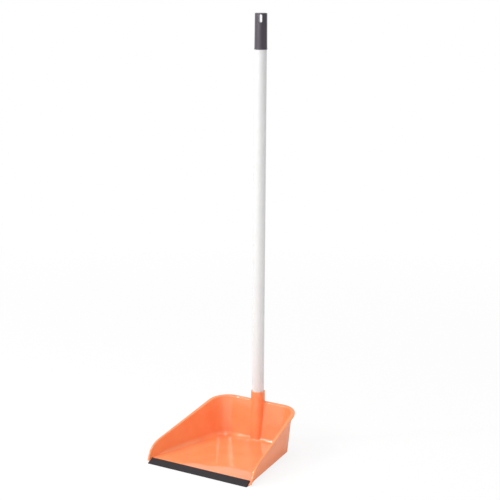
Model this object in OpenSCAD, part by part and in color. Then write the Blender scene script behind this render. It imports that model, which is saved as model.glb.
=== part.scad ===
// Lobby dustpan: a moulded pan with a rubber front strip, and a tube handle pushed into its socket.
// The front of the strip is towards -Y, the handle stands up along +Z at the back.
// The origin is on the ground, under the middle of the whole part.

/* [Pan] */
// Outer width of the pan between the tips of its side walls, at the floor
mouth_w = 224; // [196:1:256]
// Depth from the front of the rubber strip to the back of the rim
pan_d = 214; // [190:1:250]
// How far each side closes in towards the back, in degrees
side_taper = 10; // [6:0.5:12]
// Outward lean of the walls, in degrees
wall_lean = 6; // [3:0.5:9]
// Thickness of the walls
wall_t = 2.2; // [1.6:0.1:3]
// Thickness of the floor
floor_t = 2.4; // [1.8:0.1:3.2]
// Height of the floor's underside above the ground
floor_lift = 6.5; // [6:0.5:9]
// Plan radius of the back corners at the floor
corner_r = 28; // [18:1:34]
// Inside radius between the floor and the walls
floor_fillet = 8; // [3:0.5:12]
// Height of the walls' lower edge above the ground
wall_lift = 5.5; // [3.5:0.5:6]
// Height to which that edge drops at the wall tips
tip_lift = 3; // [1:0.5:3]

/* [Rim] */
// Height of the rim at its back edge
rim_h = 85; // [70:1:100]
// Height at which the sloping side rim would meet the front of the wall tips
side_front_h = 27; // [20:0.5:34]
// Slope of the side rims, in degrees
side_slope = 16.6; // [12:0.2:20]
// Slope of the rim round the back, in degrees
back_slope = 9; // [4:0.5:11]
// Lean of the front edge of each side wall from upright, in degrees
front_lean = 16; // [8:1:24]
// Radius between a wall's front edge and its sloping rim
front_round = 44; // [30:1:50]
// Radius of the rim's change of slope
bend_round = 120; // [60:5:160]
// Width of the flange that stands out from the rim at the back
rim_w = 5.4; // [3:0.1:7]
// Width to which the flange narrows at the wall tips
rim_tip_w = 2.2; // [1.5:0.1:3]
// Thickness of the flange
rim_t = 3.2; // [1.6:0.1:3.6]

/* [Rubber strip] */
// How far the strip stands out in front of the wall tips
strip_reach = 6.5; // [4:0.5:9]
// Depth of the strip's sloping top, seen from above
strip_d = 13.5; // [12:0.5:16]
// Height of the strip's back edge
strip_h = 8.3; // [7.8:0.1:8.8]
// Thickness of the strip's front edge
strip_edge_t = 1.2; // [0.8:0.1:1.6]
// Thickness of the flap on top of the pan's front edge
flap_t = 1.2; // [0.8:0.1:1.5]
// Gap between the strip's square ends and the side walls, at the strip's back edge
strip_gap = 0.5; // [0.2:0.1:2]

/* [Handle] */
// Outer diameter of the handle's tube
tube_d = 22; // [19:0.5:25]
// Wall of the tube
tube_t = 0.5; // [0.3:0.1:1.2]
// Length of the tube
tube_l = 733; // [500:1:1200]
// Distance from the back of the rim to the handle's axis
handle_in = 8; // [6:0.5:12]
// Turn of the handle in its socket, in degrees
handle_turn = 27; // [0:1:90]

/* [Socket] */
// Outer diameter of the socket
socket_d = 26.7; // [24.4:0.1:31]
// Height of the socket's collar above the rim's back edge
collar_rise = 20; // [10:1:40]
// Clearance all round the tube in the socket
socket_clear = 0.05; // [0.02:0.01:0.1]
// Thickness of the socket's bottom above the pan's floor
socket_base_t = 2; // [1:0.5:4]
// Chamfer at the socket's mouth
mouth_chamfer = 0.8; // [0.4:0.1:1.1]
// Rounding of the collar's outer top edge
collar_round = 1; // [0.4:0.1:1.1]

/* [Grip] */
// Length of the grip above the tube
grip_l = 65; // [50:1:90]
// Diameter of the grip at its top
grip_top_d = 22.5; // [20:0.1:27]
// Diameter of the grip above its foot ring
grip_foot_d = 23.4; // [20:0.1:27]
// Diameter of the ring at the grip's foot
ring_d = 24; // [20.5:0.1:28]
// Height of the ring at the grip's foot
ring_h = 2.5; // [1.5:0.1:5]
// Rounding of the grip's top edge
grip_round = 1.2; // [0.5:0.1:1.8]
// Width of the hanging slot
slot_w = 6; // [5:0.1:8]
// Height of the hanging slot
slot_l = 15; // [12:0.5:20]
// Material over the hanging slot
slot_top_t = 2; // [1.6:0.1:6]
// Length of the grip's spigot inside the tube
spigot_l = 40; // [20:1:60]
// Wall of the moulded grip round its core
grip_wall_t = 2.4; // [1.6:0.1:3.2]

/* [End plug] */
// Thickness of the plug's head under the tube
plug_head_t = 3; // [2:0.5:5]
// Length of the plug's spigot inside the tube
plug_spigot_l = 18; // [10:1:30]
// Wall of the plug round its core
plug_wall_t = 2; // [1.5:0.1:3]

/* [Hidden] */
$fn = 64;

// Overrun of every cut past the face that it leaves
over = 1;
// Clearance of a pressed spigot inside the tube, and gap under the plug at rest
spigot_clear = 0.03;
seat_gap = 0.1;

// Height of the floor's top, and depth of the ramp between it and the rubber strip
floor_top = floor_lift + floor_t;
ramp_d = 17;
ramp_y = strip_d + ramp_d;
// Front of the pan's own edge under the rubber strip, from the strip's front, and its thickness
apron_in = 7;
apron_t = 2;
// How far the strip's back edge stands above the ramp behind it
strip_proud = 0.3;
// Depth of the strip's lower flap under the pan's edge, and its thickness
under_flap_d = 12;
under_flap_t = 1.1;
// Depth at which the floor's underside turns down to the tongue inside the strip
floor_front = strip_d + floor_t;
// Runners under the floor: width, distance apart, and clear distance from its front and back
runner_w = 4;
runner_span = 110;
runner_front = 14;
runner_back = 10;

// Facets round each back corner, and along each rounded edge of the pan
corner_steps = 16;
round_steps = 8;

// Growth of the walls for each unit of height, and the core that the pan's corners turn round
rim_grow = tan(wall_lean);
core_y = pan_d - rim_w - corner_r - (rim_h - floor_lift) * rim_grow;
core_x = mouth_w / 2 - (corner_r + (core_y - strip_reach) * sin(side_taper)) / cos(side_taper);
wall_step = wall_t / cos(wall_lean);
// Taper of the flange's outer edge, which closes in less than the walls do
rim_taper = asin(sin(side_taper) - (rim_w - rim_tip_w) / (core_y - strip_reach));

// Handle axis, heights up the handle and the middle of the part's depth
handle_y = pan_d - handle_in;
socket_r = socket_d / 2;
collar_h = rim_h + collar_rise;
bore_r = tube_d / 2 + socket_clear;
bore_floor = floor_top + socket_base_t;
socket_z = floor_lift + floor_t / 2;
plug_z = bore_floor + seat_gap;
tube_z = plug_z + plug_head_t;
grip_z = tube_z + tube_l;
tube_bore_r = tube_d / 2 - tube_t;
spigot_r = tube_bore_r - spigot_clear;
mid_y = max(pan_d, handle_y + socket_r) / 2;

// Slope of the strip's top, and the same slope as a rise for each unit of depth
strip_rise = (strip_h - strip_edge_t) / strip_d;
strip_angle = atan(strip_rise);
flap_drop = flap_t / cos(strip_angle);
apron_drop = apron_t / cos(strip_angle);

// Directions along a sloping line of the side view, and square to it into the wall
function along(angle) = [cos(angle), sin(angle)];
function inward(angle) = [sin(angle), -cos(angle)];
// Where the line through p at angle a meets the line through q at angle b
function meet(p, a, q, b) = p + along(a) * cross(q - p, along(b)) / cross(along(a), along(b));
// Height of the seat under the strip's top flap, at a depth y
function seat_z(y) = strip_edge_t + y * strip_rise - flap_drop;

// Points round a corner at p, where an outline turns right from angle a to angle b, rounded to r
function round_corner(p, a, b, r) =
    let (centre = p + along(b) * r * tan((a - b) / 2) + inward(b) * r)
    [for (i = [0 : round_steps]) centre - inward(a + (b - a) * i / round_steps) * r];

// Points along the rim in side view, set in from it by inset: up from the height start_z, then back
function rim_line(inset, start_z) =
    let (
        rise_angle = 90 - front_lean,
        front_p = [strip_reach, tip_lift] + inward(rise_angle) * inset,
        side_p = [strip_reach, side_front_h] + inward(side_slope) * inset,
        back_p = [pan_d, rim_h] + inward(back_slope) * inset,
        front_corner = meet(front_p, rise_angle, side_p, side_slope),
        bend_corner = meet(side_p, side_slope, back_p, back_slope)
    )
    [
        meet(front_p, rise_angle, [0, start_z], 0),
        each round_corner(front_corner, rise_angle, side_slope, front_round - inset),
        each round_corner(bend_corner, side_slope, back_slope, bend_round - inset),
        meet(back_p, back_slope, [pan_d + over, 0], 90)
    ];

// Side view of the walls, down to their lower edge
module wall_view() {
    polygon([each rim_line(0, tip_lift), [pan_d + over, wall_lift], [ramp_y, wall_lift]]);
}

// Side view of all that lies under the flange
module under_flange_view() {
    polygon([each rim_line(rim_t, -over), [pan_d + over, -over]]);
}

// A side view drawn as (depth, height), carried right across the part
module across() {
    rotate([90, 0, 90]) linear_extrude(mouth_w + pan_d, center = true) children();
}

// Distance of the wall's outside from the pan's core at a height z, grown by grow
function wall_r(grow, z) = corner_r + grow + (z - floor_lift) * rim_grow;

// Section of the pan as (distance from its core, height), from the top down, rounded below
function wall_section(grow, bottom, top, round_r) =
    let (foot = [wall_r(grow, bottom), bottom])
    [
        [wall_r(grow, top), top],
        each round_r > 0 ? round_corner(foot, -90 - wall_lean, -180, round_r) : [foot]
    ];

// Distance from the middle of the pan, at a depth y, to a side that tapers at a distance r from its core
function side_x(r, y, taper) = core_x + (r + (core_y - y) * sin(taper)) / cos(taper);

// Plan of the pan at a distance r from its core and a height z: right front, round the back, left front
function plan_ring(r, z, taper) =
    let (
        front_x = side_x(r, -over, taper),
        turn = (90 - taper) / corner_steps
    )
    [
        [front_x, -over, z],
        for (i = [0 : corner_steps])
            let (angle = taper + i * turn) [core_x + r * cos(angle), core_y + r * sin(angle), z],
        for (i = [corner_steps : -1 : 0])
            let (angle = taper + i * turn) [-core_x - r * cos(angle), core_y + r * sin(angle), z],
        [-front_x, -over, z]
    ];

// The solid that a wall section sweeps round the pan's tapering core
module tub(grow, bottom, top, round_r, taper = side_taper) {
    section = wall_section(grow, bottom, top, round_r);
    rings = len(section);
    ring_n = 2 * corner_steps + 4;
    polyhedron(
        points = [for (p = section) each plan_ring(p[0], p[1], taper)],
        faces = [
            [for (j = [ring_n - 1 : -1 : 0]) j],
            [for (j = [0 : ring_n - 1]) (rings - 1) * ring_n + j],
            [
                for (k = [rings - 1 : -1 : 0]) k * ring_n + ring_n - 1,
                for (k = [0 : rings - 1]) k * ring_n
            ],
            for (k = [0 : rings - 2], j = [0 : ring_n - 2])
                [(k + 1) * ring_n + j, k * ring_n + j, k * ring_n + j + 1, (k + 1) * ring_n + j + 1]
        ]
    );
}

// A plain tub with square lower edges, from the ground to above the rim
module plain_tub(grow, taper = side_taper) {
    tub(grow, 0, rim_h + over, 0, taper);
}

// The part of the space in front of, or behind, the line where the floor's ramp begins
module in_front() {
    across() translate([-over, 0]) square([ramp_y + over, rim_h + over]);
}

module behind() {
    across() translate([ramp_y, 0]) square([pan_d, rim_h + 2 * over]);
}

// Floor and walls behind the ramp: the walls reach a little below the floor
module basin() {
    intersection() {
        difference() {
            plain_tub(0);
            tub(-wall_step, floor_top, rim_h + 2 * over, floor_fillet);
            tub(-wall_step, -over, floor_lift, 0);
        }
        behind();
    }
}

// Front ends of the side walls, beside the ramp and the rubber strip
module wall_tips() {
    intersection() {
        difference() {
            plain_tub(0);
            plain_tub(-wall_step);
        }
        in_front();
    }
}

// Flange along the whole rim, down to the wall tips
module flange() {
    difference() {
        plain_tub(rim_w, rim_taper);
        plain_tub(-wall_step / 2);
        across() under_flange_view();
    }
}

// Side view of the pan's front edge: the ramp down to the strip, its step, and the tongue inside it
module apron_view() {
    strip_back = [strip_d, strip_h];
    polygon([
        [ramp_y, floor_top],
        strip_back + inward(strip_angle) * strip_proud,
        strip_back + inward(strip_angle) * flap_t,
        [apron_in, seat_z(apron_in)],
        [apron_in, seat_z(apron_in) - apron_drop],
        [floor_front, floor_lift],
        [ramp_y, floor_lift]
    ]);
}

module apron() {
    intersection() {
        plain_tub(-wall_step / 2);
        across() apron_view();
    }
}

// Two ribs under the floor, which carry the pan level on the ground
module runners() {
    runner_l = core_y + corner_r - runner_back - floor_front - runner_front;
    for (side = [-1, 1])
        translate([side * runner_span / 2 - runner_w / 2, floor_front + runner_front, 0])
            cube([runner_w, runner_l, floor_lift + floor_t / 2]);
}

// Outline of the socket as (radius, height), with the collar's rounded top edge
module socket_section() {
    round_in_r = socket_r - collar_round;
    polygon([
        [0, socket_z],
        [socket_r, socket_z],
        [socket_r, collar_h - collar_round],
        [round_in_r, collar_h - collar_round],
        [round_in_r, collar_h],
        [0, collar_h]
    ]);
    translate([round_in_r, collar_h - collar_round]) circle(collar_round);
}

module pan() {
    color("#ff8c55") translate([0, -mid_y, 0]) difference() {
        union() {
            intersection() {
                union() {
                    basin();
                    wall_tips();
                    flange();
                }
                across() wall_view();
            }
            apron();
            runners();
            translate([0, handle_y, 0]) rotate_extrude() socket_section();
        }
        translate([0, handle_y, bore_floor]) cylinder(collar_h - bore_floor + over, bore_r, bore_r);
        translate([0, handle_y, collar_h - mouth_chamfer])
            cylinder(mouth_chamfer + over, bore_r, bore_r + mouth_chamfer + over);
    }
}

// Side view of the rubber strip, with the groove that holds the pan's front edge
module strip_view() {
    difference() {
        polygon([
            [0, 0],
            [0, strip_edge_t],
            [strip_d, strip_h],
            [strip_d, strip_h] + inward(strip_angle) * flap_t,
            [under_flap_d, seat_z(under_flap_d)],
            [under_flap_d, seat_z(under_flap_d) - apron_drop - under_flap_t],
            [apron_in, 0]
        ]);
        apron_view();
    }
}

module rubber_strip() {
    strip_l = 2 * (side_x(wall_r(-wall_step, 0), strip_d, side_taper) - strip_gap);
    color("#4a464e") translate([0, -mid_y, 0])
        rotate([90, 0, 90]) linear_extrude(strip_l, center = true) strip_view();
}

module handle_tube() {
    color("#f4f4f4") translate([0, handle_y - mid_y, tube_z]) difference() {
        cylinder(tube_l, tube_d / 2, tube_d / 2);
        translate([0, 0, -over]) cylinder(tube_l + 2 * over, tube_bore_r, tube_bore_r);
    }
}

// Moulded plug in the tube's lower end: its head stands on the bottom of the socket
module end_plug() {
    color("#3c3c40") translate([0, handle_y - mid_y, plug_z]) difference() {
        union() {
            cylinder(plug_head_t, tube_d / 2, tube_d / 2);
            cylinder(plug_head_t + plug_spigot_l, spigot_r, spigot_r);
        }
        translate([0, 0, plug_head_t])
            cylinder(plug_spigot_l + over, spigot_r - plug_wall_t, spigot_r - plug_wall_t);
    }
}

// Outline of the grip as (radius, height), from its spigot up to its rounded top
module grip_section() {
    top_r = grip_top_d / 2;
    polygon([
        [0, -spigot_l],
        [spigot_r, -spigot_l],
        [spigot_r, 0],
        [ring_d / 2, 0],
        [ring_d / 2, ring_h],
        [grip_foot_d / 2, ring_h],
        [top_r, grip_l - grip_round],
        [top_r - grip_round, grip_l - grip_round],
        [top_r - grip_round, grip_l],
        [0, grip_l]
    ]);
    translate([top_r - grip_round, grip_l - grip_round]) circle(grip_round);
}

module hand_grip() {
    slot_z = grip_l - slot_top_t - slot_l;
    core_r = spigot_r - grip_wall_t;
    color("#4d4b52") translate([0, handle_y - mid_y, grip_z]) rotate(handle_turn) difference() {
        rotate_extrude() grip_section();
        translate([0, 0, -spigot_l - over]) cylinder(spigot_l + over + slot_z - slot_w, core_r, core_r);
        rotate([90, 0, 0]) translate([0, 0, -ring_d]) linear_extrude(2 * ring_d) {
            translate([-slot_w / 2, slot_z + slot_w / 2]) square([slot_w, slot_l - slot_w]);
            translate([0, slot_z + slot_w / 2]) circle(slot_w / 2);
            translate([0, slot_z + slot_l - slot_w / 2]) circle(slot_w / 2);
        }
    }
}

pan();
rubber_strip();
handle_tube();
end_plug();
hand_grip();
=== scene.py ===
import math

import bmesh
import bpy
from mathutils import Matrix, Vector


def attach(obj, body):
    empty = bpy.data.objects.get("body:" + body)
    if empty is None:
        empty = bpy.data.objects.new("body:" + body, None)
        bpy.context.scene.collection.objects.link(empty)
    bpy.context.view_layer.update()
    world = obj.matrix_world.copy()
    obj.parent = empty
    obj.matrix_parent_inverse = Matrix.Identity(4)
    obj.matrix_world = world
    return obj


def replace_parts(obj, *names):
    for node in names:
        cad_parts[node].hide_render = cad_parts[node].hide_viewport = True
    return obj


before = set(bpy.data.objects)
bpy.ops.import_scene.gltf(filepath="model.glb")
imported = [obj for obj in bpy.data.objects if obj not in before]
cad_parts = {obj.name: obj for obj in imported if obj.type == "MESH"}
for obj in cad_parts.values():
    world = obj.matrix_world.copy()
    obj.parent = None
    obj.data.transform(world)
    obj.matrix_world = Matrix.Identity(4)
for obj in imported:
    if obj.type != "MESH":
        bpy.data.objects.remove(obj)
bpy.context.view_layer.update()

# ---- Pan ---------------------------------------------------------------------------------------------
# A one-piece injection moulding in orange polypropylene: floor, leaning walls, a flange all round the rim
# and, in the middle of the back wall, the half-sunk socket that the handle is pushed into.
MM = 0.001
FRONT_Y = -109.675
PAN_D, RIM_H = 214.0, 85.0
CORE_X, CORE_Y, CORNER_R = 54.324, 172.349, 28.0
SIDE_TAPER, WALL_LEAN = math.radians(10), math.radians(6)
WALL_STEP = 2.212
FLOOR_UNDER, FLOOR_TOP, FLOOR_MIDDLE = 6.5, 8.9, 7.7
TIP_Y, TIP_LIFT, RAMP_Y, WALL_LIFT = 6.5, 3.0, 30.5, 5.5
SIDE_FRONT_H = 27.0
FRONT_RISE, SIDE_SLOPE, BACK_SLOPE = math.radians(74), math.radians(16.6), math.radians(9)
FRONT_ROUND, BEND_ROUND = 44.0, 120.0
RIM_W, RIM_T, RIM_TAPER = 5.4, 3.2, math.radians(8.879)
RIM_INNER_ROUND, RIM_OUTER_ROUND, EDGE_ROUND = 1.4, 2.0, 0.6
WALL_FILLET, FILLET_START, FILLET_FULL = 8.0, 31.0, 54.0
FLOOR_BEND, FLOOR_LEVEL, FLOOR_DROP = 30.5, 100.0, 0.5
LEAN_RISE = math.tan(WALL_LEAN)
FULL_ROUND_DEPTH, FLANGE_SHARE, TOE_OVERLAP = 8.0, 0.6, 0.02
FILLET_STEPS, CORNER_STEPS, SETTLE_ROUNDS = 10, 32, 8
MERGE = 0.002


def along(angle):
    """Direction of a line that rises to the back at an angle, as (depth, height)."""
    return Vector((math.cos(angle), math.sin(angle)))


def inward(angle):
    """Direction square to such a line, down into the wall."""
    return Vector((math.sin(angle), -math.cos(angle)))


def meet(start, angle, other, other_angle):
    """Where two lines of the side view meet."""
    away, run, other_run = other - start, along(angle), along(other_angle)
    return start + run * (away.cross(other_run) / run.cross(other_run))


def straight(start, end, slope, steps):
    """Points and slopes along a straight run of the rim, without its two ends."""
    return [(start.lerp(end, i / steps), slope) for i in range(1, steps)]


def wall_r(off, z):
    """Distance from the corners' core at a height, off millimetres outside the walls' outer face."""
    return CORNER_R + off + (z - FLOOR_UNDER) * LEAN_RISE


def bend_centre(corner, next_angle, turn, radius):
    """Centre of a rounded corner of the rim."""
    return corner + along(next_angle) * radius * math.tan(turn / 2) + inward(next_angle) * radius


def rim_height(y):
    """Height and slope of the rim at a depth in the back part of the pan."""
    slope = math.asin(min(max((side_bend.x - y) / BEND_ROUND, math.sin(BACK_SLOPE)), math.sin(SIDE_SLOPE)))
    start = side_bend - inward(slope) * BEND_ROUND
    return start.y + (y - start.x) * math.tan(slope), slope


tip = Vector((TIP_Y, TIP_LIFT))
side_start, back_end = Vector((TIP_Y, SIDE_FRONT_H)), Vector((PAN_D, RIM_H))
front_corner = meet(tip, FRONT_RISE, side_start, SIDE_SLOPE)
side_bend = bend_centre(
    meet(side_start, SIDE_SLOPE, back_end, BACK_SLOPE), BACK_SLOPE, SIDE_SLOPE - BACK_SLOPE, BEND_ROUND
)


def floor_height(y):
    """Height of the floor's top at a depth: level behind, and a little lower towards the front."""
    share = min(max((FLOOR_LEVEL - y) / (FLOOR_LEVEL - FLOOR_BEND), 0), 1)
    return FLOOR_TOP - FLOOR_DROP * share * share


class SideStation:
    """A place along a side, where the wall's section runs square to the rim."""

    def __init__(self, rim, slope):
        self.rim, self.slope = rim, slope
        ramp_rise = (WALL_LIFT - TIP_LIFT) / (RAMP_Y - TIP_Y)
        run = inward(slope)
        self.depth = (rim.y - TIP_LIFT - (rim.x - TIP_Y) * ramp_rise) / (run.x * ramp_rise - run.y)
        if (rim + run * self.depth).x > RAMP_Y:
            self.depth = (rim.y - WALL_LIFT) / -run.y
        self.low_z = (rim + run * self.depth).y
        foot_y = (rim + run * (rim.y - FLOOR_TOP) / math.cos(slope)).x
        share = min(max((foot_y - FILLET_START) / (FILLET_FULL - FILLET_START), 0), 1)
        self.fillet = WALL_FILLET * share * share * (3 - 2 * share)
        self.floor_z = floor_height(foot_y)

    def rim_point(self, off, down, flange=False):
        """A point down from the rim, off the wall's outer face or off the flange's."""
        y, z = self.rim + inward(self.slope) * down
        taper = RIM_TAPER if flange else SIDE_TAPER
        r = wall_r(off + RIM_W if flange else off, z)
        return CORE_X + (r + (CORE_Y - y) * math.sin(taper)) / math.cos(taper), y, z

    def level_point(self, off, z):
        """A point of the wall at a height."""
        return self.rim_point(off, (self.rim.y - z) / math.cos(self.slope))


class BackStation:
    """A place round a back corner, at an angle from its core."""

    def __init__(self, turn):
        self.turn = turn
        self.depth, self.low_z, self.fillet, self.floor_z = RIM_H, WALL_LIFT, WALL_FILLET, FLOOR_TOP

    def rim_point(self, off, down, flange=False):
        """A point down from the rim, off the wall's outer face or off the flange's."""
        point = (0, 0, RIM_H)
        for _ in range(SETTLE_ROUNDS):
            x, y, _ = self.level_point(off + RIM_W if flange else off, point[2])
            height, slope = rim_height(y)
            point = (x, y, height - down / math.cos(slope))
        return point

    def level_point(self, off, z):
        """A point of the wall at a height."""
        r = wall_r(off, z)
        return CORE_X + r * math.cos(self.turn), CORE_Y + r * math.sin(self.turn), z


def quarter(steps):
    """Sine and cosine of the steps of a quarter turn."""
    return [(math.sin(i / steps * math.pi / 2), math.cos(i / steps * math.pi / 2)) for i in range(steps + 1)]


def wall_section(station):
    """Points round the wall's section: up from the floor, over the rim and down to the lower edge."""
    share = min(station.depth / FULL_ROUND_DEPTH, 1)
    inner, outer, edge = RIM_INNER_ROUND * share, RIM_OUTER_ROUND * share, EDGE_ROUND * share
    flange_t = min(RIM_T, FLANGE_SHARE * station.depth)
    in_front = station.fillet == 0
    toe_z = station.low_z + edge if in_front else station.floor_z - TOE_OVERLAP
    fillet_off = station.fillet * (LEAN_RISE - 1 / math.cos(WALL_LEAN))
    if in_front:
        section = [station.level_point(-WALL_STEP, toe_z)]
    else:
        section = [station.level_point(fillet_off - WALL_STEP, FLOOR_MIDDLE)]
    for i in range(FILLET_STEPS + 1):
        turn = -math.pi / 2 + (math.pi / 2 - WALL_LEAN) * i / FILLET_STEPS
        z = toe_z + station.fillet * (1 + math.sin(turn))
        off = fillet_off + station.fillet * math.cos(turn) - (z - toe_z) * LEAN_RISE
        section.append(station.level_point(off - WALL_STEP, z))
    section += [station.rim_point(inner * (1 - c) - WALL_STEP, inner * (1 - s)) for s, c in quarter(5)]
    section += [station.rim_point(outer * (s - 1), outer * (1 - c), flange=True) for s, c in quarter(6)]
    section += [
        station.rim_point(edge * (c - 1), flange_t - edge * (1 - s), flange=True) for s, c in quarter(3)
    ]
    section += [station.rim_point(edge * (1 - s), flange_t + edge * (1 - c)) for s, c in quarter(3)]
    section += [station.level_point(edge * (c - 1), station.low_z + edge * (1 - s)) for s, c in quarter(3)]
    section += [
        station.level_point(edge * (1 - s) - WALL_STEP, station.low_z + edge * (1 - c)) for s, c in quarter(3)
    ]
    section.append(station.level_point(-WALL_STEP, toe_z if in_front else FLOOR_MIDDLE))
    return section


def edit(piece):
    """Lets go of everything else and opens this piece in edit mode, with nothing selected."""
    if bpy.context.mode != "OBJECT":
        bpy.ops.object.mode_set(mode="OBJECT")
    bpy.ops.object.select_all(action="DESELECT")
    piece.select_set(True)
    bpy.context.view_layer.objects.active = piece
    bpy.ops.object.mode_set(mode="EDIT")
    bpy.ops.mesh.select_mode(type="EDGE")
    bpy.ops.mesh.select_all(action="DESELECT")


def loft(name, sections):
    """A closed piece through a row of closed sections, in millimetres from the strip's front edge."""
    count = len(sections[0])
    points = [Vector((x, y + FRONT_Y, z)) * MM for section in sections for x, y, z in section]
    faces = [
        (k * count + j, k * count + (j + 1) % count, (k + 1) * count + (j + 1) % count, (k + 1) * count + j)
        for k in range(len(sections) - 1)
        for j in range(count)
    ]
    faces += [tuple(range(count)), tuple(range((len(sections) - 1) * count, len(sections) * count))]
    mesh = bpy.data.meshes.new(name)
    mesh.from_pydata(points, [], faces)
    piece = bpy.data.objects.new(name, mesh)
    bpy.context.scene.collection.objects.link(piece)
    edit(piece)
    bpy.ops.mesh.select_all(action="SELECT")
    bpy.ops.mesh.remove_doubles(threshold=MERGE * MM)
    bpy.ops.mesh.dissolve_degenerate(threshold=MERGE * MM)
    bpy.ops.mesh.select_all(action="SELECT")
    bpy.ops.mesh.normals_make_consistent(inside=False)
    bpy.ops.object.mode_set(mode="OBJECT")
    return piece


def mirrored(section):
    """The same section on the left."""
    return [(-x, y, z) for x, y, z in section]


# The walls and their flange, from the right wall's front tip round the back to the left wall's.
TIP_STEPS, BEND_STEPS, SIDE_STEPS, SIDE_END_Y = 5, 24, 14, 150.0
front_bend = bend_centre(front_corner, SIDE_SLOPE, FRONT_RISE - SIDE_SLOPE, FRONT_ROUND)
bend_slopes = [FRONT_RISE + (SIDE_SLOPE - FRONT_RISE) * i / BEND_STEPS for i in range(BEND_STEPS + 1)]
rim_bend = [(front_bend - inward(slope) * FRONT_ROUND, slope) for slope in bend_slopes]
side_end = front_corner + along(SIDE_SLOPE) * ((SIDE_END_Y - front_corner.x) / math.cos(SIDE_SLOPE))
rim_run = [(tip, FRONT_RISE)] + straight(tip, rim_bend[0][0], FRONT_RISE, TIP_STEPS) + rim_bend
rim_run += straight(rim_bend[-1][0], side_end, SIDE_SLOPE, SIDE_STEPS) + [(side_end, SIDE_SLOPE)]
stations = [SideStation(point, slope) for point, slope in rim_run]
corner_turns = [SIDE_TAPER + (math.pi / 2 - SIDE_TAPER) * i / CORNER_STEPS for i in range(CORNER_STEPS + 1)]
stations += [BackStation(turn) for turn in corner_turns]
sections = [wall_section(station) for station in stations]
pan = loft("moulded_pan", sections + [mirrored(section) for section in reversed(sections)])

# The floor and, in front of it, the ramp and the tongue that the rubber strip holds, let into the walls.
FLOOR_STEPS = 20
TONGUE = ((7.0, 3.526, 7.0, 1.266), (14.06, 7.238, 15.9, 6.5), (13.87, 7.592, 15.9, 6.5))


def floor_section(top, bottom, top_x, bottom_x):
    """A section across the floor, from its upper and lower points (depth, height) and half widths."""
    return [(top_x, *top), (-top_x, *top), (-bottom_x, *bottom), (bottom_x, *bottom)]


def let_in_x(y, z):
    """Distance from the middle to inside a side wall's thickness."""
    r = wall_r(-WALL_STEP / 2, z)
    return CORE_X + (r + (CORE_Y - y) * math.sin(SIDE_TAPER)) / math.cos(SIDE_TAPER)


floor_depths = [FLOOR_BEND + (FLOOR_LEVEL - FLOOR_BEND) * i / FLOOR_STEPS for i in range(FLOOR_STEPS + 1)]
floor_run = [
    floor_section((y, z), (low_y, low_z), let_in_x(y, z), let_in_x(low_y, low_z))
    for y, z, low_y, low_z in (*TONGUE, *((y, floor_height(y), y, FLOOR_UNDER) for y in floor_depths))
]
for turn in corner_turns:
    r = wall_r(-WALL_STEP / 2, FLOOR_MIDDLE)
    x, y = CORE_X + r * math.cos(turn), CORE_Y + r * math.sin(turn)
    floor_run.append(floor_section((y, FLOOR_TOP), (y, FLOOR_UNDER), x, x))
floor = loft("floor", floor_run)


def pick_edges(piece, wanted):
    """Selects the edges that the test wants, in a piece that is open in edit mode."""
    mesh = bmesh.from_edit_mesh(piece.data)
    for edge in mesh.edges:
        edge.select_set(False)
    for edge in mesh.edges:
        if wanted(edge):
            edge.select_set(True)
    bmesh.update_edit_mesh(piece.data)


def pick_faces(piece, wanted):
    """Selects the faces that the test wants, in a piece that is open in edit mode."""
    bpy.ops.mesh.select_mode(type="FACE")
    mesh = bmesh.from_edit_mesh(piece.data)
    for face in mesh.faces:
        face.select_set(False)
    for face in mesh.faces:
        if wanted(face):
            face.select_set(True)
    bmesh.update_edit_mesh(piece.data)


def apply_modifier(piece, kind, **settings):
    """Adds one modifier with its settings and applies it."""
    if bpy.context.mode != "OBJECT":
        bpy.ops.object.mode_set(mode="OBJECT")
    bpy.context.view_layer.objects.active = piece
    modifier = piece.modifiers.new(kind.lower(), kind)
    for name, value in settings.items():
        setattr(modifier, name, value)
    bpy.ops.object.modifier_apply(modifier=modifier.name)


SMOOTH_ANGLE = math.radians(40)
SQUARE_CORNER = 60


def smooth(piece):
    """Smooth shading across edges that turn only a little, with flat sides kept flat."""
    bpy.ops.object.mode_set(mode="OBJECT")
    bpy.ops.object.select_all(action="DESELECT")
    piece.select_set(True)
    bpy.context.view_layer.objects.active = piece
    bpy.ops.object.shade_smooth_by_angle(angle=SMOOTH_ANGLE)
    apply_modifier(piece, "WEIGHTED_NORMAL", keep_sharp=True, weight=50)


def add_round(name, radius, foot, top, sides=96):
    """A round bar on the handle's axis, placed in its mesh and open in edit mode."""
    if bpy.context.mode != "OBJECT":
        bpy.ops.object.mode_set(mode="OBJECT")
    bpy.ops.object.select_all(action="DESELECT")
    bpy.ops.mesh.primitive_cylinder_add(
        vertices=sides, radius=radius * MM, depth=(top - foot) * MM,
        location=(0, SOCKET_Y * MM, (foot + top) / 2 * MM),
    )
    piece = bpy.context.object
    piece.name = piece.data.name = name
    bpy.ops.object.transform_apply(location=True, rotation=True, scale=True)
    edit(piece)
    return piece


def at_height(part, z):
    """Whether all of an edge or face lies at a height."""
    return all(abs(v.co.z - z * MM) < 0.005 * MM for v in part.verts)


def corner_angle(edge):
    """Degrees that the surface turns at an edge, above zero where the edge stands out."""
    return math.degrees(edge.calc_face_angle_signed(0)) if len(edge.link_faces) == 2 else 0


def from_axis(point):
    """Distance of a point from the handle's axis, in millimetres."""
    return math.hypot(point.x, point.y - SOCKET_Y * MM) / MM


def join(piece, other, operation="UNION"):
    """Joins another piece to this one, or cuts it away, and removes it."""
    apply_modifier(piece, "BOOLEAN", operation=operation, solver="EXACT", object=other)
    bpy.data.objects.remove(other)


join(pan, floor)

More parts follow.
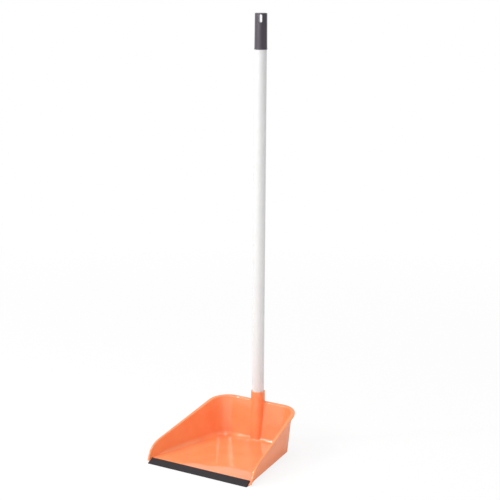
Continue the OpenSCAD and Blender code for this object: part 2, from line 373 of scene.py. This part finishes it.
# Two ribs under the floor, which carry the pan level on the ground.
RUNNER_X, RUNNER_W, RUNNER_START, RUNNER_END = 55.0, 4.0, 29.9, 190.349
for side in (-1, 1):
    bpy.ops.object.select_all(action="DESELECT")
    bpy.ops.mesh.primitive_cube_add(
        size=1, scale=(RUNNER_W * MM, (RUNNER_END - RUNNER_START) * MM, FLOOR_MIDDLE * MM),
        location=(
            side * RUNNER_X * MM, (FRONT_Y + (RUNNER_START + RUNNER_END) / 2) * MM, FLOOR_MIDDLE / 2 * MM
        ),
    )
    runner = bpy.context.object
    bpy.ops.object.transform_apply(location=True, rotation=True, scale=True)
    edit(runner)
    pick_edges(runner, lambda e: not at_height(e, FLOOR_MIDDLE))
    bpy.ops.mesh.bevel(offset=EDGE_ROUND * MM, segments=3, profile=0.5)
    bpy.ops.object.mode_set(mode="OBJECT")
    join(pan, runner)

# The socket: a round post half sunk in the back wall, blended into the wall and the floor in front, with
# a collar above the rim and a bore for the tube.
SOCKET_Y = 96.325
SOCKET_R, BORE_R = 13.35, 11.05
BORE_FLOOR, COLLAR_TOP, COLLAR_ROUND, MOUTH_CHAMFER = 10.9, 105.0, 1.0, 0.8
SOCKET_FILLET, SOCKET_FOOT_FILLET = 2.6, 4.5
SKIN, WALL_LET_IN, FLOOR_LET_IN, RIM_LET_DOWN = 0.02, 0.9, 0.3, 0.25
FRONT_TOP, RIM_PLAN_Z, FRONT_STEPS = 70.0, 78.0, 10


def back_wall_y(z):
    """Depth of the back wall's inner face at a height, with its fillet to the floor."""
    foot = CORE_Y + wall_r(-WALL_STEP, FLOOR_TOP)
    below = FLOOR_TOP + WALL_FILLET - z
    if below > WALL_FILLET * math.sin(WALL_LEAN):
        centre_y = foot + WALL_FILLET * (LEAN_RISE - 1 / math.cos(WALL_LEAN))
        return centre_y + math.sqrt(max(WALL_FILLET**2 - below**2, 0))
    return foot + (z - FLOOR_TOP) * LEAN_RISE


def socket_outline(z, steps=16):
    """Plan of the socket's front at a height: a round with a fillet to the wall on each side."""
    below = max(FLOOR_TOP + SOCKET_FOOT_FILLET - z, 0)
    flare = SOCKET_FOOT_FILLET - math.sqrt(max(SOCKET_FOOT_FILLET**2 - below**2, 0))
    axis_y = SOCKET_Y - FRONT_Y
    round_r = SOCKET_R + SKIN + flare
    wall_y = back_wall_y(z) + SKIN
    fillet_y = wall_y - SOCKET_FILLET
    fillet_x = math.sqrt((round_r + SOCKET_FILLET) ** 2 - (axis_y - fillet_y) ** 2)
    turn = math.atan2(axis_y - fillet_y, fillet_x)
    right = [(fillet_x, wall_y + WALL_LET_IN)]
    for i in range(steps + 1):
        angle = math.pi / 2 + (math.pi / 2 - turn) * i / steps
        right.append((fillet_x + SOCKET_FILLET * math.cos(angle), fillet_y + SOCKET_FILLET * math.sin(angle)))
    for i in range(1, 2 * steps + 1):
        angle = -turn - (math.pi / 2 - turn) * i / (2 * steps)
        right.append((round_r * math.cos(angle), axis_y + round_r * math.sin(angle)))
    return right + [(-x, y) for x, y in reversed(right[:-1])]


heights = [FLOOR_TOP + SOCKET_FOOT_FILLET * (1 - math.cos(math.radians(a))) for a in range(0, 91, 9)]
heights[0] -= FLOOR_LET_IN
heights += [heights[-1] + (FRONT_TOP - heights[-1]) * i / FRONT_STEPS for i in range(1, FRONT_STEPS + 1)]
levels = [[(x, y, z) for x, y in socket_outline(z)] for z in heights]
levels.append([(x, y, rim_height(y)[0] - RIM_LET_DOWN) for x, y in socket_outline(RIM_PLAN_Z)])
join(pan, loft("socket_front", levels))

post = add_round("socket_post", SOCKET_R, FLOOR_MIDDLE, COLLAR_TOP, sides=128)
pick_edges(post, lambda e: at_height(e, COLLAR_TOP))
bpy.ops.mesh.bevel(offset=COLLAR_ROUND * MM, segments=6, profile=0.5)
bpy.ops.object.mode_set(mode="OBJECT")
join(pan, post)

bore = add_round("socket_bore", BORE_R, BORE_FLOOR, COLLAR_TOP - MOUTH_CHAMFER, sides=128)
pick_faces(bore, lambda f: f.normal.z > 0.9)
bpy.ops.mesh.extrude_region_move(TRANSFORM_OT_translate={"value": (0, 0, 2 * MOUTH_CHAMFER * MM)})
flare = (BORE_R + 2 * MOUTH_CHAMFER) / BORE_R
bpy.ops.transform.resize(value=(flare, flare, 1), center_override=(0, SOCKET_Y * MM, 0))
bpy.ops.object.mode_set(mode="OBJECT")
join(pan, bore, "DIFFERENCE")
smooth(pan)


def linear(code):
    """Linear colour of an sRGB hex value."""
    parts = [int(code[i : i + 2], 16) / 255 for i in (1, 3, 5)]
    return [c / 12.92 if c <= 0.04045 else ((c + 0.055) / 1.055) ** 2.4 for c in parts] + [1]


def add(material, kind, settings=None, **inputs):
    """Adds one node with its settings, and sets or links its inputs by name."""
    tree = material.node_tree
    node = tree.nodes.new("ShaderNode" + kind)
    for name, value in (settings or {}).items():
        setattr(node, name, value)
    for name, value in inputs.items():
        socket = node.inputs[int(name[1:])] if name[1:].isdigit() else node.inputs[name.replace("_", " ")]
        if isinstance(value, bpy.types.NodeSocket):
            tree.links.new(value, socket)
        else:
            socket.default_value = value
    return node


def new_material(name):
    """An empty node material and its output node."""
    material = bpy.data.materials.new(name)
    material.use_nodes = True
    material.node_tree.nodes.clear()
    return material, material.node_tree.nodes.new("ShaderNodeOutputMaterial")


def per_mm(size):
    """Texture scale at which one feature is this many millimetres across."""
    return 1 / (size * MM)


# Injection-moulded polypropylene: glossy, with a faint cloudiness of colour from the melt's flow, a little
# light carried inside it, and the soft orange-peel of a polished mould.
polypropylene, output = new_material("orange_polypropylene")
place = add(polypropylene, "TexCoord").outputs["Object"]
clouds = add(polypropylene, "TexNoise", Vector=place, Scale=per_mm(32), Detail=3.0, Roughness=0.5)
tint = add(polypropylene, "ValToRGB", Fac=clouds.outputs["Fac"])
tint.color_ramp.elements[0].position = 0.35
tint.color_ramp.elements[0].color = linear("#fa935f")
tint.color_ramp.elements[1].position = 0.65
tint.color_ramp.elements[1].color = linear("#fd9a66")
polish = add(polypropylene, "TexNoise", Vector=place, Scale=per_mm(9), Detail=2.0)
gloss = add(polypropylene, "MapRange", Value=polish.outputs["Fac"], To_Min=0.05, To_Max=0.08)
peel = add(polypropylene, "TexNoise", Vector=place, Scale=per_mm(2.2), Detail=1.0)
bump = add(polypropylene, "Bump", Strength=0.06, Distance=0.05 * MM, Height=peel.outputs["Fac"])
shader = add(
    polypropylene, "BsdfPrincipled", Base_Color=tint.outputs["Color"], Roughness=gloss.outputs["Result"],
    IOR=1.58, Normal=bump.outputs["Normal"],
)
shader.inputs["Subsurface Weight"].default_value = 0.12
shader.inputs["Subsurface Radius"].default_value = (1.0, 0.35, 0.15)
shader.inputs["Subsurface Scale"].default_value = 2.5 * MM
polypropylene.node_tree.links.new(shader.outputs["BSDF"], output.inputs["Surface"])
pan.data.materials.clear()
pan.data.materials.append(polypropylene)
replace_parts(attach(pan, "pan"), "pan")

# ---- Rubber strip ------------------------------------------------------------------------------------
# A dark extruded rubber lip, cut to length and pushed over the pan's front edge between the wall tips,
# where its groove holds it. It lies flat on the ground so that dust runs up over it.
STRIP_CORNER, STRIP_ROUND = 25, 0.35


def copy_node(node, name, merge=0.03):
    """A new piece from a CAD node's mesh, merged, with each flat side as one face, open in edit mode."""
    piece = bpy.data.objects.new(name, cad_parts[node].data.copy())
    bpy.context.scene.collection.objects.link(piece)
    edit(piece)
    bpy.ops.mesh.select_all(action="SELECT")
    bpy.ops.mesh.remove_doubles(threshold=merge * MM)
    bpy.ops.mesh.dissolve_limited(angle_limit=math.radians(0.4))
    bpy.ops.mesh.select_all(action="DESELECT")
    return piece


strip = copy_node("rubber_strip", "rubber_lip")
pick_edges(strip, lambda e: corner_angle(e) > STRIP_CORNER)
bpy.ops.mesh.bevel(offset=STRIP_ROUND * MM, segments=2, profile=0.5, clamp_overlap=True)
smooth(strip)

# Extruded rubber: matt and dark, with the fine lengthwise drag lines that the die leaves.
rubber, output = new_material("extruded_rubber")
place = add(rubber, "TexCoord").outputs["Object"]
stretched = add(rubber, "Mapping", Vector=place, Scale=(0.02, 1.0, 1.0))
drag = add(rubber, "TexNoise", Vector=stretched.outputs["Vector"], Scale=per_mm(1.1), Detail=3.0)
tint = add(rubber, "ValToRGB", Fac=drag.outputs["Fac"])
tint.color_ramp.elements[0].position = 0.3
tint.color_ramp.elements[0].color = linear("#221c20")
tint.color_ramp.elements[1].position = 0.7
tint.color_ramp.elements[1].color = linear("#2c262a")
bump = add(rubber, "Bump", Strength=0.3, Distance=0.06 * MM, Height=drag.outputs["Fac"])
shader = add(
    rubber, "BsdfPrincipled", Base_Color=tint.outputs["Color"], Roughness=0.7, IOR=1.45,
    Normal=bump.outputs["Normal"],
)
rubber.node_tree.links.new(shader.outputs["BSDF"], output.inputs["Surface"])
strip.data.materials.clear()
strip.data.materials.append(rubber)
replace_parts(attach(strip, "pan"), "rubber_strip")

# ---- Handle tube -------------------------------------------------------------------------------------
# A straight thin-walled steel tube with a white baked coating. Its lower end is pushed into the pan's
# socket and held there by friction.
TUBE_R = 11.0
TUBE_WALL = 0.5
TUBE_FOOT = 14.0
TUBE_TOP = 747.0
TUBE_EDGE_ROUND = 0.12

tube = add_round("coated_tube", TUBE_R, TUBE_FOOT, TUBE_TOP)
pick_faces(tube, lambda f: abs(f.normal.z) > 0.9)
bpy.ops.mesh.inset(thickness=TUBE_WALL * MM)
bpy.ops.mesh.bridge_edge_loops()
bpy.ops.mesh.select_mode(type="EDGE")
tube_ends = (TUBE_FOOT, TUBE_TOP)
pick_edges(
    tube, lambda e: any(at_height(e, z) for z in tube_ends) and abs(corner_angle(e)) > SQUARE_CORNER
)
bpy.ops.mesh.bevel(offset=TUBE_EDGE_ROUND * MM, segments=2, profile=0.5)
smooth(tube)

# Baked white coating on steel: satin, with a slight orange-peel in the film.
coating, output = new_material("white_baked_coating")
place = add(coating, "TexCoord").outputs["Object"]
peel = add(coating, "TexNoise", Vector=place, Scale=per_mm(1.6), Detail=2.0)
film = add(coating, "TexNoise", Vector=place, Scale=per_mm(40), Detail=2.0)
tint = add(coating, "ValToRGB", Fac=film.outputs["Fac"])
tint.color_ramp.elements[0].position = 0.3
tint.color_ramp.elements[0].color = linear("#dddddd")
tint.color_ramp.elements[1].position = 0.7
tint.color_ramp.elements[1].color = linear("#e0e0df")
gloss = add(coating, "MapRange", Value=peel.outputs["Fac"], To_Min=0.5, To_Max=0.6)
bump = add(coating, "Bump", Strength=0.05, Distance=0.05 * MM, Height=peel.outputs["Fac"])
shader = add(
    coating, "BsdfPrincipled", Base_Color=tint.outputs["Color"], Roughness=gloss.outputs["Result"],
    IOR=1.5, Normal=bump.outputs["Normal"],
)
coating.node_tree.links.new(shader.outputs["BSDF"], output.inputs["Surface"])
tube.data.materials.clear()
tube.data.materials.append(coating)
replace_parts(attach(tube, "handle"), "handle_tube")

# ---- End plug ----------------------------------------------------------------------------------------
# A small moulded polyethylene plug pressed into the tube's lower end, so that the cut steel doesn't score
# the socket. Its head is as wide as the tube.
PLUG_FOOT = 11.0
PLUG_SPIGOT_R = 10.47
PLUG_SPIGOT_L = 18.0
PLUG_WALL = 2.0
PLUG_ROUND = 0.4
PLUG_RIM_ABOVE = 30.0

plug = add_round("tube_end_plug", TUBE_R, PLUG_FOOT, TUBE_FOOT)
pick_faces(plug, lambda f: f.normal.z > 0.9)
bpy.ops.mesh.inset(thickness=(TUBE_R - PLUG_SPIGOT_R) * MM)
bpy.ops.mesh.extrude_region_move(TRANSFORM_OT_translate={"value": (0, 0, PLUG_SPIGOT_L * MM)})
bpy.ops.mesh.inset(thickness=PLUG_WALL * MM)
bpy.ops.mesh.extrude_region_move(TRANSFORM_OT_translate={"value": (0, 0, -PLUG_SPIGOT_L * MM)})
bpy.ops.mesh.select_mode(type="EDGE")
pick_edges(
    plug,
    lambda e: corner_angle(e) > SQUARE_CORNER
    and (at_height(e, PLUG_FOOT) or e.verts[0].co.z > PLUG_RIM_ABOVE * MM),
)
bpy.ops.mesh.bevel(offset=PLUG_ROUND * MM, segments=3, profile=0.5)
smooth(plug)

# Moulded polyethylene: charcoal, waxy, softly mottled.
polyethylene, output = new_material("charcoal_polyethylene")
place = add(polyethylene, "TexCoord").outputs["Object"]
clouds = add(polyethylene, "TexNoise", Vector=place, Scale=per_mm(5), Detail=3.0)
tint = add(polyethylene, "ValToRGB", Fac=clouds.outputs["Fac"])
tint.color_ramp.elements[0].position = 0.3
tint.color_ramp.elements[0].color = linear("#38373b")
tint.color_ramp.elements[1].position = 0.7
tint.color_ramp.elements[1].color = linear("#424146")
bump = add(polyethylene, "Bump", Strength=0.1, Distance=0.05 * MM, Height=clouds.outputs["Fac"])
shader = add(
    polyethylene, "BsdfPrincipled", Base_Color=tint.outputs["Color"], Roughness=0.42, IOR=1.51,
    Normal=bump.outputs["Normal"],
)
polyethylene.node_tree.links.new(shader.outputs["BSDF"], output.inputs["Surface"])
plug.data.materials.clear()
plug.data.materials.append(polyethylene)
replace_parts(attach(plug, "handle"), "end_plug")

# ---- Hand grip ---------------------------------------------------------------------------------------
# A moulded charcoal grip whose spigot is pressed into the tube's top. It has a ring at its foot and, near
# its top, a slot right through to hang the dustpan up by.
GRIP_FOOT = 747.0
GRIP_TOP = 812.0
RING_R = 12.0
RING_H = 2.5
GRIP_FOOT_R = 11.7
GRIP_TOP_R = 11.25
GRIP_ROUND = 1.2
GRIP_SPIGOT_R = 10.47
GRIP_SPIGOT_L = 40.0
GRIP_WALL = 2.4
CORE_TOP = 789.0
SLOT_W = 6.0
SLOT_FOOT = 795.0
SLOT_TOP = 810.0
SLOT_CUT_L = 40.0
SLOT_CORNER, SLOT_EDGE_ROUND, SLOT_EDGE_R = 45, 0.3, 10.6
RING_EDGE_ROUND = 0.25
HANDLE_TURN = math.radians(27)

grip = add_round("hand_grip_moulding", RING_R, GRIP_FOOT, GRIP_FOOT + RING_H, sides=128)
axis_point = (0, SOCKET_Y * MM, 0)
pick_faces(grip, lambda f: f.normal.z > 0.9)
bpy.ops.mesh.inset(thickness=(RING_R - GRIP_FOOT_R) * MM)
bpy.ops.mesh.extrude_region_move(
    TRANSFORM_OT_translate={"value": (0, 0, (GRIP_TOP - GRIP_FOOT - RING_H) * MM)}
)
shrink = GRIP_TOP_R / GRIP_FOOT_R
bpy.ops.transform.resize(value=(shrink, shrink, 1), center_override=axis_point)
pick_faces(grip, lambda f: f.normal.z < -0.9)
bpy.ops.mesh.inset(thickness=(RING_R - GRIP_SPIGOT_R) * MM)
bpy.ops.mesh.extrude_region_move(TRANSFORM_OT_translate={"value": (0, 0, -GRIP_SPIGOT_L * MM)})
bpy.ops.mesh.inset(thickness=GRIP_WALL * MM)
bpy.ops.mesh.extrude_region_move(
    TRANSFORM_OT_translate={"value": (0, 0, (CORE_TOP - GRIP_FOOT + GRIP_SPIGOT_L) * MM)}
)
bpy.ops.mesh.select_mode(type="EDGE")
pick_edges(grip, lambda e: at_height(e, GRIP_TOP))
bpy.ops.mesh.bevel(offset=GRIP_ROUND * MM, segments=5, profile=0.5)
ring_heights = (GRIP_FOOT, GRIP_FOOT + RING_H, GRIP_FOOT - GRIP_SPIGOT_L)
pick_edges(grip, lambda e: corner_angle(e) > SQUARE_CORNER and any(at_height(e, z) for z in ring_heights))
bpy.ops.mesh.bevel(offset=RING_EDGE_ROUND * MM, segments=2, profile=0.5)
bpy.ops.object.mode_set(mode="OBJECT")

bpy.ops.object.select_all(action="DESELECT")
bpy.ops.mesh.primitive_cylinder_add(
    vertices=48, radius=SLOT_W / 2 * MM, depth=SLOT_CUT_L * MM, rotation=(math.pi / 2, 0, HANDLE_TURN),
    location=(0, SOCKET_Y * MM, (SLOT_FOOT + SLOT_W / 2) * MM),
)
slot_cutter = bpy.context.object
bpy.ops.object.transform_apply(location=True, rotation=True, scale=True)
edit(slot_cutter)
lower_round_z = (SLOT_FOOT + SLOT_W / 2) * MM
bpy.ops.mesh.select_mode(type="VERT")
cutter_mesh = bmesh.from_edit_mesh(slot_cutter.data)
for corner in cutter_mesh.verts:
    corner.select_set(corner.co.z > lower_round_z + 0.001 * MM)
bmesh.update_edit_mesh(slot_cutter.data)
bpy.ops.transform.translate(value=(0, 0, (SLOT_TOP - SLOT_FOOT - SLOT_W) * MM))
bpy.ops.object.mode_set(mode="OBJECT")
join(grip, slot_cutter, "DIFFERENCE")
edit(grip)


def by_slot(point):
    """Whether a point lies on the outside of the grip, at the slot's height."""
    return (SLOT_FOOT - 1) * MM < point.z < (SLOT_TOP + 0.5) * MM and from_axis(point) > SLOT_EDGE_R


pick_edges(grip, lambda e: corner_angle(e) > SLOT_CORNER and all(by_slot(v.co) for v in e.verts))
bpy.ops.mesh.bevel(offset=SLOT_EDGE_ROUND * MM, segments=2, profile=0.5, clamp_overlap=True)
smooth(grip)

# Moulded charcoal polypropylene with a fine diamond grain etched in the mould. The grain is about a
# millimetre across on such grips and is drawn at 2.4 mm, so that it shows.
grained, output = new_material("grained_charcoal_polypropylene")
place = add(grained, "TexCoord").outputs["Object"]
centred = add(grained, "Mapping", Vector=place, Location=(0, -SOCKET_Y * MM, 0))
parts = add(grained, "SeparateXYZ", Vector=centred.outputs["Vector"])
angle = add(grained, "Math", {"operation": "ARCTAN2"}, _0=parts.outputs["Y"], _1=parts.outputs["X"])
around = add(grained, "Math", {"operation": "MULTIPLY"}, _0=angle.outputs["Value"], _1=GRIP_TOP_R * MM)
unrolled = add(grained, "CombineXYZ", X=around.outputs["Value"], Y=parts.outputs["Z"])
heights_of_grain = []
for lean in (-35, 35):
    turned = add(
        grained, "Mapping", Vector=unrolled.outputs["Vector"], Rotation=(0, 0, math.radians(lean))
    )
    rows = add(grained, "TexWave", Vector=turned.outputs["Vector"], Scale=2 * math.pi / 20 * per_mm(2.4))
    heights_of_grain.append(rows.outputs["Fac"])
diamonds = add(grained, "Math", {"operation": "MULTIPLY"}, _0=heights_of_grain[0], _1=heights_of_grain[1])
grit = add(grained, "TexNoise", Vector=place, Scale=per_mm(0.9), Detail=2.0)
tint = add(grained, "ValToRGB", Fac=diamonds.outputs["Value"])
tint.color_ramp.elements[0].color = linear("#362e3a")
tint.color_ramp.elements[1].color = linear("#4a4150")
surface = add(
    grained, "Math", {"operation": "MULTIPLY_ADD"}, _0=grit.outputs["Fac"], _1=0.35,
    _2=diamonds.outputs["Value"],
)
bump = add(grained, "Bump", Strength=0.35, Distance=0.12 * MM, Height=surface.outputs["Value"])
shader = add(
    grained, "BsdfPrincipled", Base_Color=tint.outputs["Color"], Roughness=0.32, IOR=1.75,
    Normal=bump.outputs["Normal"],
)
grained.node_tree.links.new(shader.outputs["BSDF"], output.inputs["Surface"])
grip.data.materials.clear()
grip.data.materials.append(grained)
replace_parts(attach(grip, "handle"), "hand_grip")

# ---- Studio ------------------------------------------------------------------------------------------
# A plain pale floor, a white surround, soft lamps, and the camera low in front and to the right.
FLOOR_SIZE = 12
FLOOR_TONE, MIRRORED_TONE = (0.9, 0.9, 0.9, 1), (0.75, 0.75, 0.75, 1)
WHITE = (1, 1, 1, 1)
scene = bpy.context.scene
scene.view_settings.view_transform = "Standard"

bpy.ops.object.select_all(action="DESELECT")
bpy.ops.mesh.primitive_plane_add(size=FLOOR_SIZE)
studio_floor = bpy.context.object
studio_floor.name = "studio_floor"
pale, output = new_material("pale_floor")
seen = add(pale, "LightPath")
direct = add(
    pale, "Math", {"operation": "MAXIMUM"}, _0=seen.outputs["Is Camera Ray"],
    _1=seen.outputs["Is Transmission Ray"],
)
tone = add(pale, "MixRGB", Fac=seen.outputs["Is Glossy Ray"], Color1=FLOOR_TONE, Color2=MIRRORED_TONE)
lit = add(pale, "BsdfDiffuse", Color=tone.outputs["Color"])
glow = add(pale, "Emission", Color=WHITE, Strength=1.0)
place = add(pale, "TexCoord").outputs["Object"]
away = add(pale, "VectorMath", {"operation": "LENGTH"}, _0=place)
white_share = add(
    pale, "MapRange", Value=away.outputs["Value"], From_Min=0.4, From_Max=2.0, To_Min=0.85, To_Max=1.0
)
share = add(
    pale, "Math", {"operation": "MULTIPLY"}, _0=direct.outputs["Value"], _1=white_share.outputs["Result"]
)
mixed = add(
    pale, "MixShader", Fac=share.outputs["Value"], _1=lit.outputs["BSDF"], _2=glow.outputs["Emission"]
)
pale.node_tree.links.new(mixed.outputs["Shader"], output.inputs["Surface"])
studio_floor.data.materials.append(pale)

# The surround is white. In reflections a dimmer studio lies above it, and a dark card stands on the right.
world = bpy.data.worlds.new("white_surround")
scene.world = world
world.use_nodes = True
world.node_tree.nodes.clear()
seen = add(world, "LightPath")
direct = add(
    world, "Math", {"operation": "MAXIMUM"}, _0=seen.outputs["Is Camera Ray"],
    _1=seen.outputs["Is Transmission Ray"],
)
heading = add(world, "SeparateXYZ", Vector=add(world, "TexCoord").outputs["Generated"])
mirrored_light = add(
    world, "MapRange", Value=heading.outputs["Z"], From_Min=0.42, From_Max=0.48, To_Min=1.0, To_Max=0.5
)
soft = add(world, "Background", Color=WHITE, Strength=0.65)
dark_card = add(
    world, "MapRange", Value=heading.outputs["X"], From_Min=0.3, From_Max=0.85, To_Min=1.0, To_Max=0.25
)
dimmed = add(
    world, "Math", {"operation": "MULTIPLY"}, _0=mirrored_light.outputs["Result"],
    _1=dark_card.outputs["Result"],
)
mirrored_sky = add(world, "Background", Color=WHITE, Strength=dimmed.outputs["Value"])
white = add(world, "Background", Color=WHITE, Strength=1.0)
lit_or_mirrored = add(
    world, "MixShader", Fac=seen.outputs["Is Glossy Ray"], _1=soft.outputs["Background"],
    _2=mirrored_sky.outputs["Background"],
)
mixed = add(
    world, "MixShader", Fac=direct.outputs["Value"], _1=lit_or_mirrored.outputs["Shader"],
    _2=white.outputs["Background"],
)
output = world.node_tree.nodes.new("ShaderNodeOutputWorld")
world.node_tree.links.new(mixed.outputs["Shader"], output.inputs["Surface"])


def softbox(name, place, aim, size, power, spread=180):
    """A wide area lamp at a place, turned towards its aim, with its beam limited to a spread."""
    lamp = bpy.data.lights.new(name, "AREA")
    lamp.shape = "RECTANGLE"
    lamp.size, lamp.size_y = size
    lamp.energy = power
    lamp.spread = math.radians(spread)
    holder = bpy.data.objects.new(name, lamp)
    holder.location = place
    holder.rotation_euler = (Vector(aim) - Vector(place)).to_track_quat("-Z", "Y").to_euler()
    scene.collection.objects.link(holder)


softbox("key_lamp", (-0.71, -2.18, 1.45), (0, 0, 0.15), (1.6, 0.6), 26.5)
softbox("overhead_lamp", (-0.1, -0.2, 2.3), (-0.05, 0, 0), (0.6, 0.6), 8)
softbox("top_lamp", (-1.3, -1.15, 1.9), (0, 0, 0.05), (0.28, 0.4), 13)
softbox("side_lamp", (1.3, 0.05, 0.865), (0, 0.03, 0.04), (0.8, 0.12), 0.3, spread=70)

AZIMUTH = math.radians(32.64)
ELEVATION = math.radians(11.74)
ROLL = math.radians(0.39)
DISTANCE = 2.5618
AIM = Vector((0.01566, 0.040325, 0.38856))
LENS, SENSOR, FAR = 101.45, 36, 50
back = Vector((
    math.sin(AZIMUTH) * math.cos(ELEVATION), -math.cos(AZIMUTH) * math.cos(ELEVATION), math.sin(ELEVATION)
))
level = Vector((math.cos(AZIMUTH), math.sin(AZIMUTH), 0))
upright = back.cross(level)
right = level * math.cos(ROLL) + upright * math.sin(ROLL)
up = upright * math.cos(ROLL) - level * math.sin(ROLL)
camera_data = bpy.data.cameras.new("camera")
camera_data.lens = LENS
camera_data.sensor_width = SENSOR
camera_data.clip_end = FAR
camera = bpy.data.objects.new("camera", camera_data)
facing = Matrix((right, up, back)).transposed().to_4x4()
camera.matrix_world = Matrix.Translation(AIM + back * DISTANCE) @ facing
scene.collection.objects.link(camera)
scene.camera = camera
